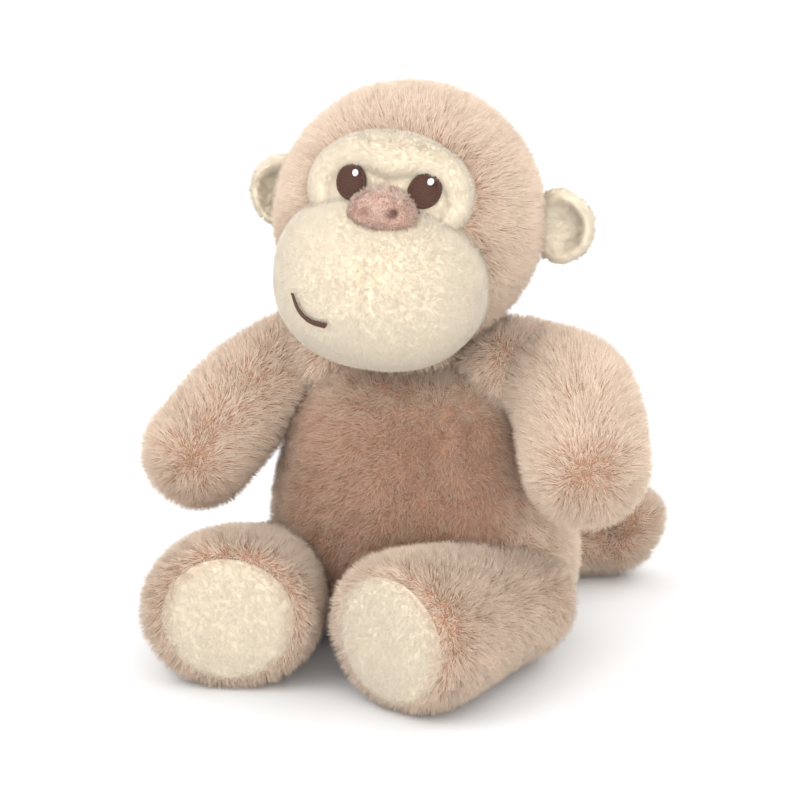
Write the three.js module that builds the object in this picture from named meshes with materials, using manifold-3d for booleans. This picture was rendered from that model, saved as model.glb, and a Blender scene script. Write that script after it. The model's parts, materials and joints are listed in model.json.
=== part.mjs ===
// A seated stuffed monkey: pelt panels sewn round stuffing, with sewn-on limbs, tail, ears and face.
// Millimetres, +Z up, the face towards -Y, the origin at the middle of the flat seat.
import * as THREE from 'three';
import Module from 'manifold-3d';
import { mergeVertices } from 'three/addons/utils/BufferGeometryUtils.js';

const wasm = await Module();
wasm.setup();

// Thicknesses and gaps
const PELT = 2.2; // backing cloth with its pile, pressed
const SEAM = 0.35; // between two panels that are sewn together
const LINING = 0.4; // between a panel and the stuffing in it
const JOIN = 0.6; // between two bodies that turn against each other
const FLATNESS = 0.1; // faces this close to one plane are joined
const SOFT_FLATNESS = 0.3; // the same inside the stuffing, which nothing shows

// Torso: half width, half depth, middle in Y and height of each section, from the seat up
const TORSO_SECTIONS = [
  [0, 0, 4, -6],
  [26, 22, 4, -4],
  [41, 33.5, 3, 6],
  [48, 38.5, 2, 22],
  [47.5, 38, 0, 40],
  [42, 34, -1, 58],
  [31.5, 26.5, -2, 74],
  [21, 18, -2, 85.5],
  [10, 9.5, -2, 89.2],
  [0, 0, -2, 89.8],
];
const SEAT_RADIUS = 21;
const SIDE_SEAM_Y = 1;
const PELLET_BAG = { radius: [30, 24, 10], at: [0, 4, 16] };

// Head, in its own frame with the face towards -Y
const HEAD_AT = new THREE.Vector3(-2.5, -5, 132.6);
const HEAD_YAW = 9;
const HEAD_ROLL = 4.4;
const HEAD = [40.6, 39.4, 40.4];
const GUSSET_HALF = 12;
const NECK_AT = new THREE.Vector3(-2, -3, 91.4);
const NECK_RADIUS = 9;
const NECK_HEIGHT = 1.6;
const MUZZLE = { radius: [31.8, 24, 26.2], at: [-0.5, -29, -12.7] };
const MASK = { radius: [23.5, 16.5, 15.8], at: [0, -24, 13] };
const MASK_DROP = 6; // height of the mask's lower edge, under the muzzle's top
const NOSE = { radius: [10.6, 7, 5.6], at: [0, -39, 12] };
const EYE_RADIUS = 4.2;
const EYE_X = 10.8;
const EYE_Z = 16.8;
const EYE_THICK = 0.7;
const EYE_LIFT = 3.4; // from the head's own surface
const GLINT_RADIUS = 1.1;
const GLINT_GAP = 0.4;
const SMILE = [
  [-21.8, -14.5],
  [-19.6, -18.6],
  [-16, -21],
  [-11, -21.3],
];
const SMILE_RADIUS = 0.55;

// Ears
const EAR_RADIUS = [9.4, 2.9, 11.6];
const EAR_AT = [42, 11, 0.5];
const EAR_HOLLOW = [7.4, 2.6, 9.2];
const EAR_CLEAR = 2.6; // from the head, so that the ear can fold

// Arms: shoulder, middle and hand centre of each; radii along the arm
const ARM_PATHS = {
  left: [
    [40, 0, 85],
    [53, -11, 82.5],
    [62, -29, 71],
  ],
  right: [
    [-40, -1, 84],
    [-52, -14, 74],
    [-62.5, -30, 58],
  ],
};
const ARM_ROOT = 9;
const ARM_RADII = {
  left: [ARM_ROOT, 15, 17.6, 18.2, 17.8],
  right: [ARM_ROOT, 13.6, 15.6, 16.4, 16.4],
};
const RING_THICK = 1.4;
const RING_RADIUS = 6.5;

// Legs: hip and sole centre of each, and the way the sole faces from -Y
const LEG_PATHS = {
  left: { hip: [35, -18, 20.5], sole: [20, -74, 24], face: -16 },
  right: { hip: [-35, -18, 20.5], sole: [-33, -75, 24], face: 4 },
};
const LEG_ROOT = 17;
const LEG_RADII = [LEG_ROOT, 19, 21.4, 23.4, 24.6];
const LEG_HEIGHT_SHARE = 0.96; // a leg is a little flatter than it is wide
const FOOT_EDGE = 7; // rounding round the sole
const SOLE_RADIUS = 18;
const SOLE_THICK = 2;
const ROOM_SHAPE = { grow: 2.2, rows: 10, sides: 12 };
const LEG_RAISED = [0, 12.5, 25]; // the torso keeps clear of the leg at these angles

// Tail
const TAIL_PATH = [
  [2, 48.4, 18],
  [16, 56, 12],
  [30, 64, 10.4],
  [42, 68, 12],
  [47, 67, 20.5],
];
const TAIL_RADIUS = 9.8;
const TAIL_ROOT = 7;

// Seam thread that closes the back
const THREAD_RADIUS = 0.5;
const THREAD_LIFT = 1.2;

const FINISHES = {
  pelt: { color: 0xb8947f, roughness: 0.95, metalness: 0 },
  shortPile: { color: 0xf2e6cb, roughness: 0.9, metalness: 0 },
  noseCloth: { color: 0xc49e92, roughness: 0.9, metalness: 0 },
  darkThread: { color: 0x5b3326, roughness: 0.6, metalness: 0 },
  whiteThread: { color: 0xf7f4ee, roughness: 0.6, metalness: 0 },
  seamThread: { color: 0xa58471, roughness: 0.7, metalness: 0 },
  stuffing: { color: 0xf4f4f2, roughness: 1, metalness: 0 },
  lining: { color: 0xe6e0d4, roughness: 0.9, metalness: 0 },
};

const group = new THREE.Group();

function addNode(name, solid, finish) {
  const made = solid.simplify(finish === 'stuffing' ? SOFT_FLATNESS : FLATNESS).getMesh();
  const positions = new Float32Array(made.numVert * 3);
  for (let i = 0; i < made.numVert; i++) {
    positions.set(made.vertProperties.subarray(i * made.numProp, i * made.numProp + 3), i * 3);
  }
  const geometry = new THREE.BufferGeometry();
  geometry.setAttribute('position', new THREE.BufferAttribute(positions, 3));
  geometry.setIndex(new THREE.BufferAttribute(new Uint32Array(made.triVerts), 1));
  const faceted = geometry.toNonIndexed();
  faceted.computeVertexNormals();
  const mesh = new THREE.Mesh(faceted, new THREE.MeshStandardMaterial(FINISHES[finish]));
  mesh.name = name;
  group.add(mesh);
}

function solidOf(geometry) {
  geometry.deleteAttribute('normal');
  geometry.deleteAttribute('uv');
  const merged = mergeVertices(geometry, 1e-4);
  return new wasm.Manifold(
    new wasm.Mesh({
      numProp: 3,
      vertProperties: new Float32Array(merged.attributes.position.array),
      triVerts: new Uint32Array(merged.index.array),
    }),
  );
}

// A closed solid from rows of points. pointAt(u, v) has u from one pole to the other and v once round.
function surfaceSolid(pointAt, rows, sides) {
  const points = [];
  const faces = [];
  const put = (p) => points.push(p.x, p.y, p.z);
  put(pointAt(0, 0));
  for (let row = 1; row < rows; row++) {
    for (let side = 0; side < sides; side++) {
      put(pointAt(row / rows, side / sides));
    }
  }
  put(pointAt(1, 0));
  const last = (rows - 1) * sides + 1;
  const at = (row, side) => 1 + (row - 1) * sides + (side % sides);
  for (let side = 0; side < sides; side++) {
    faces.push(0, at(1, side), at(1, side + 1));
    faces.push(last, at(rows - 1, side + 1), at(rows - 1, side));
    for (let row = 1; row < rows - 1; row++) {
      faces.push(at(row, side), at(row + 1, side), at(row + 1, side + 1));
      faces.push(at(row, side), at(row + 1, side + 1), at(row, side + 1));
    }
  }
  const make = (triVerts) =>
    new wasm.Manifold(
      new wasm.Mesh({
        numProp: 3,
        vertProperties: new Float32Array(points),
        triVerts: new Uint32Array(triVerts),
      }),
    );
  const solid = make(faces);
  if (solid.volume() > 0) {
    return solid;
  }
  return make(faces.reverse());
}

function ellipsoid(radius, at, grow = 0, rows = 10, sides = 18) {
  return surfaceSolid(
    (u, v) => {
      const polar = u * Math.PI;
      const round = v * 2 * Math.PI;
      return new THREE.Vector3(
        at[0] + (radius[0] + grow) * Math.sin(polar) * Math.cos(round),
        at[1] + (radius[1] + grow) * Math.sin(polar) * Math.sin(round),
        at[2] + (radius[2] + grow) * Math.cos(polar),
      );
    },
    rows,
    sides,
  );
}

// A cylinder along Z from its base, with the given radius
function post(radius, at, height, sides = 20) {
  const geometry = new THREE.CylinderGeometry(radius, radius, height, sides);
  geometry.rotateX(Math.PI / 2);
  geometry.translate(at[0], at[1], at[2] + height / 2);
  return solidOf(geometry);
}

// A tube along a curve with a radius at each place and rounded ends. heightShare flattens it in Z.
function limb(points, radii, { grow = 0, heightShare = 1, rows = 12, sides = 14, cap = 1 }) {
  const curve = new THREE.CatmullRomCurve3(points.map((p) => new THREE.Vector3(...p)));
  const length = curve.getLength();
  const rootRound = radii[0] + grow;
  const endRound = (radii[radii.length - 1] + grow) * cap;
  const whole = rootRound + length + endRound;
  const radiusAt = (t) => {
    const place = Math.min(Math.max(t, 0), 1) * (radii.length - 1);
    const index = Math.min(Math.floor(place), radii.length - 2);
    return THREE.MathUtils.lerp(radii[index], radii[index + 1], place - index) + grow;
  };
  return surfaceSolid(
    (u, v) => {
      // Equal steps round each end, and along the middle
      const quarter = 0.3;
      let along;
      if (u < quarter) {
        along = rootRound * (1 - Math.cos((u / quarter) * Math.PI * 0.5));
      } else if (u > 1 - quarter) {
        along = whole - endRound * (1 - Math.cos(((1 - u) / quarter) * Math.PI * 0.5));
      } else {
        along = rootRound + (length * (u - quarter)) / (1 - 2 * quarter);
      }
      const t = (along - rootRound) / length;
      const inside = Math.min(Math.max(t, 0), 1);
      const middle = curve.getPointAt(inside);
      const ahead = curve.getTangentAt(inside);
      const across = new THREE.Vector3(-ahead.y, ahead.x, 0).normalize();
      const up = new THREE.Vector3().crossVectors(across, ahead).negate().normalize();
      let radius = radiusAt(t);
      if (t < 0) {
        const back = (rootRound - along) / rootRound;
        middle.addScaledVector(ahead, -back * rootRound);
        radius *= Math.sqrt(Math.max(0, 1 - back * back));
      } else if (t > 1) {
        const beyond = (along - rootRound - length) / endRound;
        middle.addScaledVector(ahead, beyond * endRound);
        radius *= Math.sqrt(Math.max(0, 1 - beyond * beyond));
      }
      const angle = v * 2 * Math.PI;
      return middle
        .addScaledVector(across, radius * Math.cos(angle))
        .addScaledVector(up, radius * heightShare * Math.sin(angle));
    },
    rows,
    sides,
  );
}

// The same solid turned by a three.js matrix
function moved(solid, matrix) {
  return solid.transform(matrix.elements);
}

function turned(solid, axis, degrees, at) {
  const matrix = new THREE.Matrix4()
    .makeTranslation(...at)
    .multiply(new THREE.Matrix4().makeRotationAxis(axis, THREE.MathUtils.degToRad(degrees)))
    .multiply(new THREE.Matrix4().makeTranslation(-at[0], -at[1], -at[2]));
  return moved(solid, matrix);
}

// ---- Legs: a pelt in an upper and a lower panel, stuffing, and a short-pile sole let into the end.
function footFrame(leg) {
  const facing = THREE.MathUtils.degToRad(leg.face);
  return new THREE.Matrix4()
    .makeTranslation(...leg.sole)
    .multiply(new THREE.Matrix4().makeRotationZ(facing))
    .multiply(new THREE.Matrix4().makeRotationX(Math.PI / 2));
}

function legSolid(leg, grow, rows = 12, sides = 16) {
  const hip = new THREE.Vector3(...leg.hip);
  const sole = new THREE.Vector3(...leg.sole);
  const inner = sole.clone().lerp(hip, FOOT_EDGE / sole.distanceTo(hip));
  const shape = { grow, heightShare: LEG_HEIGHT_SHARE, cap: 0.34, rows, sides };
  const whole = limb([leg.hip, hip.clone().lerp(inner, 0.5).toArray(), inner.toArray()], LEG_RADII, shape);
  // The foot ends flat, square to the way it faces
  const facing = THREE.MathUtils.degToRad(leg.face);
  const out = [Math.sin(facing), -Math.cos(facing), 0];
  const reach = out[0] * leg.sole[0] + out[1] * leg.sole[1] + grow;
  return whole.trimByPlane([-out[0], -out[1], 0], -reach).trimByPlane([0, 0, 1], -grow);
}

const hipPockets = [];
for (const [side, leg] of Object.entries(LEG_PATHS)) {
  const recess = moved(post(SOLE_RADIUS + SEAM, [0, 0, -SOLE_THICK], 2 * SOLE_THICK), footFrame(leg));
  const outer = legSolid(leg, 0).subtract(recess);
  const inner = legSolid(leg, -PELT, 8, 12);
  const rootWindow = post(LEG_ROOT * 0.55, [leg.hip[0], leg.hip[1], leg.hip[2]], 60);
  const opening = turned(rootWindow, new THREE.Vector3(1, 0, 0), -90, leg.hip);
  const pelt = outer.subtract(inner).subtract(opening);
  addNode(`${side}_leg_top`, pelt.trimByPlane([0, 0, 1], leg.hip[2] + SEAM / 2), 'pelt');
  addNode(`${side}_leg_underside`, pelt.trimByPlane([0, 0, -1], -leg.hip[2] + SEAM / 2), 'pelt');
  const filling = legSolid(leg, -PELT - LINING, 8, 12);
  const behindSole = moved(
    post(SOLE_RADIUS + 2 * SEAM, [0, 0, -SOLE_THICK - LINING], 3 * SOLE_THICK),
    footFrame(leg),
  );
  addNode(`${side}_leg_stuffing`, filling.subtract(behindSole), 'stuffing');
  const pad = moved(post(SOLE_RADIUS, [0, 0, -SOLE_THICK + SEAM], SOLE_THICK), footFrame(leg));
  addNode(`${side}_foot_sole`, pad, 'shortPile');
  for (const raise of LEG_RAISED) {
    const thigh = limb([leg.hip, leg.sole], LEG_RADII, ROOM_SHAPE);
    hipPockets.push(turned(thigh, new THREE.Vector3(1, 0, 0), -raise, leg.hip));
  }
}
// Where the torso is sewn in round the legs, with room for them to lift
const legRoom = wasm.Manifold.union(hipPockets).simplify(SOFT_FLATNESS);

// ---- Torso: a front panel, two back panels and a round seat, with stuffing and a bag of pellets.
function torsoSolid(grow, rows = 14, sides = 20) {
  const curve = new THREE.CatmullRomCurve3(
    TORSO_SECTIONS.map(([wide, , , up]) => new THREE.Vector3(wide, 0, up)),
  );
  const depth = new THREE.CatmullRomCurve3(
    TORSO_SECTIONS.map(([, deep, middle]) => new THREE.Vector3(deep, middle, 0)),
  );
  const whole = surfaceSolid(
    (u, v) => {
      const outline = curve.getPoint(u);
      const section = depth.getPoint(u);
      const angle = v * 2 * Math.PI;
      const share = Math.min(1, outline.x / 20);
      const wide = Math.max(0, outline.x + grow * share);
      const deep = Math.max(0, section.x + grow * share);
      const rise = u > 0.75 ? grow * (1 - share) : 0;
      return new THREE.Vector3(
        wide * Math.cos(angle),
        section.y + deep * Math.sin(angle),
        outline.z + rise,
      );
    },
    rows,
    sides,
  );
  return whole.trimByPlane([0, 0, 1], -grow);
}

const torsoInner = torsoSolid(-PELT, 10, 14);
const neckHole = post(NECK_RADIUS - 2, [NECK_AT.x, NECK_AT.y, 80], 20);
const seatHole = post(SEAT_RADIUS + SEAM, [0, TORSO_SECTIONS[0][2], -5], 12);
const torsoPelt = torsoSolid(0).subtract(torsoInner).subtract(legRoom).subtract(neckHole).subtract(seatHole);
const torsoBack = torsoPelt.trimByPlane([0, 1, 0], SIDE_SEAM_Y + SEAM / 2);
addNode('torso_front_panel', torsoPelt.trimByPlane([0, -1, 0], -SIDE_SEAM_Y + SEAM / 2), 'pelt');
addNode('torso_back_left', torsoBack.trimByPlane([1, 0, 0], SEAM / 2), 'pelt');
addNode('torso_back_right', torsoBack.trimByPlane([-1, 0, 0], SEAM / 2), 'pelt');
addNode('seat_panel', post(SEAT_RADIUS, [0, TORSO_SECTIONS[0][2], 0], PELT), 'pelt');

const bag = ellipsoid(PELLET_BAG.radius, PELLET_BAG.at, 0, 8, 14).subtract(legRoom).decompose()
  .sort((a, b) => b.volume() - a.volume())[0];
const bagRoom = ellipsoid(PELLET_BAG.radius, PELLET_BAG.at, 1.5, 7, 12);
const bagMouth = post(6, [0, PELLET_BAG.at[1], PELLET_BAG.at[2] - 60], 60, 8);
const torsoFilling = torsoSolid(-PELT - LINING, 10, 14)
  .subtract(legRoom)
  .subtract(bagRoom)
  .subtract(bagMouth);
addNode(
  'torso_stuffing',
  torsoFilling.decompose().sort((a, b) => b.volume() - a.volume())[0],
  'stuffing',
);
addNode('pellet_bag', bag, 'lining');

// ---- Closing seam: the hand stitching down the middle of the back, through which it was stuffed.
const backAt = (section) => [0, TORSO_SECTIONS[section][2] + TORSO_SECTIONS[section][1] + THREAD_LIFT,
  TORSO_SECTIONS[section][3]];
addNode('closing_seam',
  limb([backAt(4), backAt(5), backAt(6)], [THREAD_RADIUS, THREAD_RADIUS], { rows: 12, sides: 6 }),
  'seamThread');

// ---- Neck: the gathered ring where the head is sewn on.
addNode(
  'neck_seam',
  post(NECK_RADIUS, [NECK_AT.x, NECK_AT.y, NECK_AT.z - NECK_HEIGHT / 2], NECK_HEIGHT),
  'pelt',
);

// ---- Head: two side panels and a middle gusset round the stuffing, a face mask, muzzle and nose.
const headMatrix = new THREE.Matrix4()
  .makeTranslation(HEAD_AT.x, HEAD_AT.y, HEAD_AT.z)
  .multiply(new THREE.Matrix4().makeRotationZ(THREE.MathUtils.degToRad(HEAD_YAW)))
  .multiply(new THREE.Matrix4().makeRotationY(THREE.MathUtils.degToRad(HEAD_ROLL)));
const neckRoom = post(NECK_RADIUS + 3, [NECK_AT.x, NECK_AT.y, 60], NECK_AT.z + NECK_HEIGHT / 2 + JOIN - 60);
const addHeadNode = (name, solid, finish) => addNode(name, moved(solid, headMatrix), finish);
const head = (grow, rows = 12, sides = 22) => ellipsoid(HEAD, [0, 0, 0], grow, rows, sides);
const muzzle = (grow, rows = 12, sides = 20) =>
  ellipsoid(MUZZLE.radius, MUZZLE.at, grow, rows, sides);

const neckOpening = moved(neckRoom, headMatrix.clone().invert());
const headPelt = head(0).subtract(head(-PELT, 8, 14)).subtract(neckOpening)
  .subtract(post(NECK_RADIUS - 2, [0, 0, -50], 20));
addHeadNode('head_gusset',
  headPelt.trimByPlane([1, 0, 0], -GUSSET_HALF).trimByPlane([-1, 0, 0], -GUSSET_HALF), 'pelt');
addHeadNode('head_left_panel', headPelt.trimByPlane([1, 0, 0], GUSSET_HALF + SEAM), 'pelt');
addHeadNode('head_right_panel', headPelt.trimByPlane([-1, 0, 0], GUSSET_HALF + SEAM), 'pelt');
addHeadNode('head_stuffing', head(-PELT - LINING, 8, 14).subtract(neckOpening), 'stuffing');

const muzzlePelt = muzzle(0).subtract(muzzle(-PELT, 8, 14)).subtract(head(SEAM));
addHeadNode('muzzle_left_panel', muzzlePelt.trimByPlane([1, 0, 0], SEAM / 2), 'shortPile');
addHeadNode('muzzle_right_panel', muzzlePelt.trimByPlane([-1, 0, 0], SEAM / 2), 'shortPile');
addHeadNode('muzzle_stuffing', muzzle(-PELT - LINING, 8, 14).subtract(head(SEAM)), 'stuffing');

const mask = ellipsoid(MASK.radius, MASK.at, 0, 10, 18)
  .subtract(head(SEAM))
  .subtract(muzzle(SEAM))
  .trimByPlane([0, 0, 1], MASK_DROP);
const nose = ellipsoid(NOSE.radius, NOSE.at, 0, 8, 14).subtract(muzzle(SEAM)).subtract(head(SEAM));
const largest = (solid) => solid.decompose().sort((a, b) => b.volume() - a.volume())[0];
const maskFront = largest(mask.subtract(ellipsoid(NOSE.radius, NOSE.at, SEAM, 8, 14)));
addHeadNode('nose', largest(nose), 'noseCloth');

// An eye is a disc of satin stitch laid on the mask, with a small white glint sewn over it.
function eyeDisc(x, z, radius, thick, lift) {
  const y = -HEAD[1] * Math.sqrt(1 - (x / HEAD[0]) ** 2 - (z / HEAD[2]) ** 2);
  const out = new THREE.Vector3(x / HEAD[0] ** 2, y / HEAD[1] ** 2, z / HEAD[2] ** 2).normalize();
  const turn = new THREE.Quaternion().setFromUnitVectors(new THREE.Vector3(0, 0, 1), out);
  const matrix = new THREE.Matrix4().compose(
    new THREE.Vector3(x, y, z).addScaledVector(out, lift),
    turn,
    new THREE.Vector3(1, 1, 1),
  );
  return moved(post(radius, [0, 0, 0], thick, 16), matrix);
}
let maskWithSockets = maskFront;
for (const [side, sign] of [['left', 1], ['right', -1]]) {
  maskWithSockets = maskWithSockets.subtract(
    eyeDisc(sign * EYE_X, EYE_Z, EYE_RADIUS + 1.6, 30, EYE_LIFT - 0.3),
  );
  addHeadNode(`${side}_eye`, eyeDisc(sign * EYE_X, EYE_Z, EYE_RADIUS, EYE_THICK, EYE_LIFT), 'darkThread');
  addHeadNode(
    `${side}_eye_glint`,
    eyeDisc(sign * EYE_X + 1.2, EYE_Z + 2, GLINT_RADIUS, EYE_THICK, EYE_LIFT + EYE_THICK + GLINT_GAP),
    'whiteThread',
  );
}
addHeadNode('face_mask', largest(maskWithSockets), 'shortPile');

// The smile is a line of satin stitch along the muzzle's right cheek.
function onMuzzle([x, z], lift) {
  const across = x / (MUZZLE.radius[0] + lift);
  const up = (z - MUZZLE.at[2]) / (MUZZLE.radius[2] + lift);
  return [x, MUZZLE.at[1] - (MUZZLE.radius[1] + lift) * Math.sqrt(1 - across ** 2 - up ** 2), z];
}
const smilePath = SMILE.map((point) => onMuzzle(point, SMILE_RADIUS + 0.35));
addHeadNode('smile_stitch',
  limb(smilePath, [SMILE_RADIUS, SMILE_RADIUS], { rows: 10, sides: 6 }), 'darkThread');

// ---- Ears: a front and a back sewn together, hollowed in front, standing off the head.
for (const [side, sign] of [['left', 1], ['right', -1]]) {
  const at = [sign * EAR_AT[0], EAR_AT[1], EAR_AT[2]];
  const whole = ellipsoid(EAR_RADIUS, at, 0, 8, 16).subtract(head(EAR_CLEAR));
  const hollow = ellipsoid(EAR_HOLLOW, [at[0], at[1] - EAR_RADIUS[1], at[2]], 0, 8, 14);
  addHeadNode(`${side}_ear_front`,
    whole.trimByPlane([0, -1, 0], -at[1] + SEAM / 2).subtract(hollow), 'shortPile');
  addHeadNode(`${side}_ear_back`, whole.trimByPlane([0, 1, 0], at[1] + SEAM / 2), 'shortPile');
}

// ---- Arms: a front and a back panel round stuffing, sewn on through a small round seam.
for (const [side, path] of Object.entries(ARM_PATHS)) {
  const sign = Math.sign(path[0][0]);
  const shape = { rows: 12, sides: 14 };
  const outer = limb(path, ARM_RADII[side], shape);
  const inside = { rows: 9, sides: 10 };
  const inner = limb(path, ARM_RADII[side], { ...inside, grow: -PELT });
  const opening = turned(post(ARM_ROOT * 0.5, path[0], 30), new THREE.Vector3(0, 1, 0), -90 * sign, path[0]);
  const pelt = outer.subtract(inner).subtract(opening);
  // The two panels meet in a plane that holds the arm's own line and is square to the floor
  const along = new THREE.Vector3(...path[2]).sub(new THREE.Vector3(...path[0]));
  const across = new THREE.Vector3(-along.y, along.x, 0).normalize().multiplyScalar(sign);
  const split = across.dot(new THREE.Vector3(...path[0]));
  addNode(`${side}_arm_back`, pelt.trimByPlane(across.toArray(), split + SEAM / 2), 'pelt');
  addNode(
    `${side}_arm_front`,
    pelt.trimByPlane(across.clone().negate().toArray(), -split + SEAM / 2),
    'pelt',
  );
  const filling = limb(path, ARM_RADII[side], { ...inside, grow: -PELT - LINING });
  addNode(`${side}_arm_stuffing`, filling, 'stuffing');
  const ring = turned(
    post(RING_RADIUS, path[0], RING_THICK),
    new THREE.Vector3(0, 1, 0),
    -90 * sign,
    path[0],
  ).translate([-sign * (ARM_ROOT + JOIN), 0, 0]);
  addNode(`${side}_shoulder_seam`, ring, 'pelt');
}

// ---- Tail: an upper and a lower panel round stuffing, sewn to the middle of the back.
const tailRadii = [TAIL_ROOT, TAIL_RADIUS, TAIL_RADIUS, TAIL_RADIUS, TAIL_RADIUS];
const tailShape = { rows: 14, sides: 12 };
const tailInside = { rows: 11, sides: 8 };
const tailPelt = limb(TAIL_PATH, tailRadii, tailShape).subtract(
  limb(TAIL_PATH, tailRadii, { ...tailInside, grow: -PELT }),
);
const tailRootHole = turned(post(3, TAIL_PATH[0], 30), new THREE.Vector3(1, 0, 0), 90, TAIL_PATH[0]);
const tailOpen = tailPelt.subtract(tailRootHole);
const TAIL_SEAM = new THREE.Vector3(0.5, -0.86, 0).normalize();
const tailSplit = TAIL_SEAM.dot(new THREE.Vector3(...TAIL_PATH[0])) + 2;
const tailAway = TAIL_SEAM.clone().negate().toArray();
addNode('tail_outer', tailOpen.trimByPlane(tailAway, -tailSplit + SEAM / 2), 'pelt');
addNode('tail_inner', tailOpen.trimByPlane(TAIL_SEAM.toArray(), tailSplit + SEAM / 2), 'pelt');
addNode('tail_stuffing', limb(TAIL_PATH, tailRadii, { ...tailInside, grow: -PELT - LINING }), 'stuffing');

export default group;
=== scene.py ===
"""Looks of a seated stuffed monkey: padded skins, long and short pile, stitched face.

Lengths in this file are millimetres until put_mesh turns them into metres. The face, the head
and the ears are laid out in the head's own axes: x to the toy's left, y to the back, z up.
"""

import math

import bpy
import numpy as np
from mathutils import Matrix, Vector
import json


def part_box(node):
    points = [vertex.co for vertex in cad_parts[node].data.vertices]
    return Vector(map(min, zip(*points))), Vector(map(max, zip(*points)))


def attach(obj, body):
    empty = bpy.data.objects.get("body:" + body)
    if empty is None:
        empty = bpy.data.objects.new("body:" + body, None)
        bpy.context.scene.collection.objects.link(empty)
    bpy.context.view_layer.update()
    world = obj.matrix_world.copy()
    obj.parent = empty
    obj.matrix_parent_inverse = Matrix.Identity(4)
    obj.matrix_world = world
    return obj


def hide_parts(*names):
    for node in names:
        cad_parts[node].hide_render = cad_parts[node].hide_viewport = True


MM = 0.001
FLOOR_GAP = 0.15  # no strand goes lower than this
SKIN_DEPTH = 2.4  # how far the skins lie inside the solids, to leave room for the pile
# Pile: length and width, strands to a square millimetre, lean away from the normal in degrees, how
# much the random drift turns a strand, and the pitch of the drift.
LONG_PILE = {"length": 4.9, "width": 0.255, "per_mm2": 6.2, "lean": 30, "wander": 0.2, "pitch": 1.8}
LIMB_PILE = {**LONG_PILE, "lean": 22}
BELLY_PILE = {**LONG_PILE, "lean": 22, "wander": 0.42, "pitch": 2.6}
# How far the foot of a strand has already turned to the colour of the tip, and how much of the tip's
# colour a strand keeps at least, however deep the painted shade on it.
ROOT_SHARE, LEAST_TIP = 0.5, 0.35
SUNK = 0.3  # how far the foot of a strand reaches into the skin
SHORT_PILE = {"length": 1.6, "width": 0.22, "per_mm2": 11.5, "lean": 30, "wander": 0.16, "pitch": 1.3}
NOSE_PILE = {"length": 1.7, "width": 0.3, "per_mm2": 9.0, "lean": 50, "wander": 0.7, "pitch": 1.4}
EAR_PILE = {"length": 1.7, "width": 0.26, "per_mm2": 9.0, "lean": 40, "wander": 0.5, "pitch": 1.6}

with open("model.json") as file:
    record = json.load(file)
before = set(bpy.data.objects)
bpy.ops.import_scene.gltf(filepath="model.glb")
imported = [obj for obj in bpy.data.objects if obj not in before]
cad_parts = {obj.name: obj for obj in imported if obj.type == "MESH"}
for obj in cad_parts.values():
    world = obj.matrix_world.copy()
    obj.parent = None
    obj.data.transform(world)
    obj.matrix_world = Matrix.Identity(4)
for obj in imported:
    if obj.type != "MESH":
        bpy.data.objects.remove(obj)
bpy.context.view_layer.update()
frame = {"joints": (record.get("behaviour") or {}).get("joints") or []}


# ---------------------------------------------------------------- places read from the frame


def span(*nodes):
    """Lowest and highest corner of some CAD nodes together."""
    boxes = [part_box(node) for node in nodes]
    low = np.min([box[0] for box in boxes], axis=0) / MM
    high = np.max([box[1] for box in boxes], axis=0) / MM
    return low, high


def middle(*nodes):
    low, high = span(*nodes)
    return (low + high) / 2


def half(*nodes):
    low, high = span(*nodes)
    return (high - low) / 2


def pivot(joint):
    return np.array(next(j["pos_m"] for j in frame["joints"] if j["name"] == joint)) / MM


# ---------------------------------------------------------------- arithmetic on whole arrays


def unit(v):
    return v / np.maximum(np.linalg.norm(v, axis=-1, keepdims=True), 1e-9)


def smooth(x, start, end):
    """0 before start, 1 after end, and a soft step between."""
    t = np.clip((x - start) / (end - start), 0, 1)
    return t * t * (3 - 2 * t)


def drift(points, pitch, seed):
    """Random vectors that change smoothly: one is drawn for each corner of a grid of cubes of
    side pitch, and a point takes the soft mean of the eight corners round it."""
    at = points / pitch + 512.0
    cell = np.floor(at).astype(int)
    part = at - cell
    part = part * part * (3 - 2 * part)
    table = np.random.default_rng(seed).normal(size=(8192, 3))
    total = np.zeros_like(points)
    for corner in np.ndindex(2, 2, 2):
        place = cell + corner
        key = (place[:, 0] * 1571 + place[:, 1] * 3163 + place[:, 2] * 5279) % len(table)
        weight = np.prod(np.where(np.array(corner), part, 1 - part), axis=1)
        total += table[key] * weight[:, None]
    return total


def through(points, count):
    """A curve through every point: each stretch is the cubic whose slope at a point is half the
    step between its two neighbours."""
    p = np.asarray(points, float)
    p = np.vstack([2 * p[0] - p[1], p, 2 * p[-1] - p[-2]])
    t = np.linspace(0, len(p) - 3, count)
    k = np.minimum(t.astype(int), len(p) - 4)
    f = (t - k)[:, None]
    a, b, c, d = p[k], p[k + 1], p[k + 2], p[k + 3]
    return 0.5 * (2 * b + (c - a) * f + (2 * a - 5 * b + 4 * c - d) * f**2
                  + (3 * b - a - 3 * c + d) * f**3)


# ---------------------------------------------------------------- closed surfaces


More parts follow.
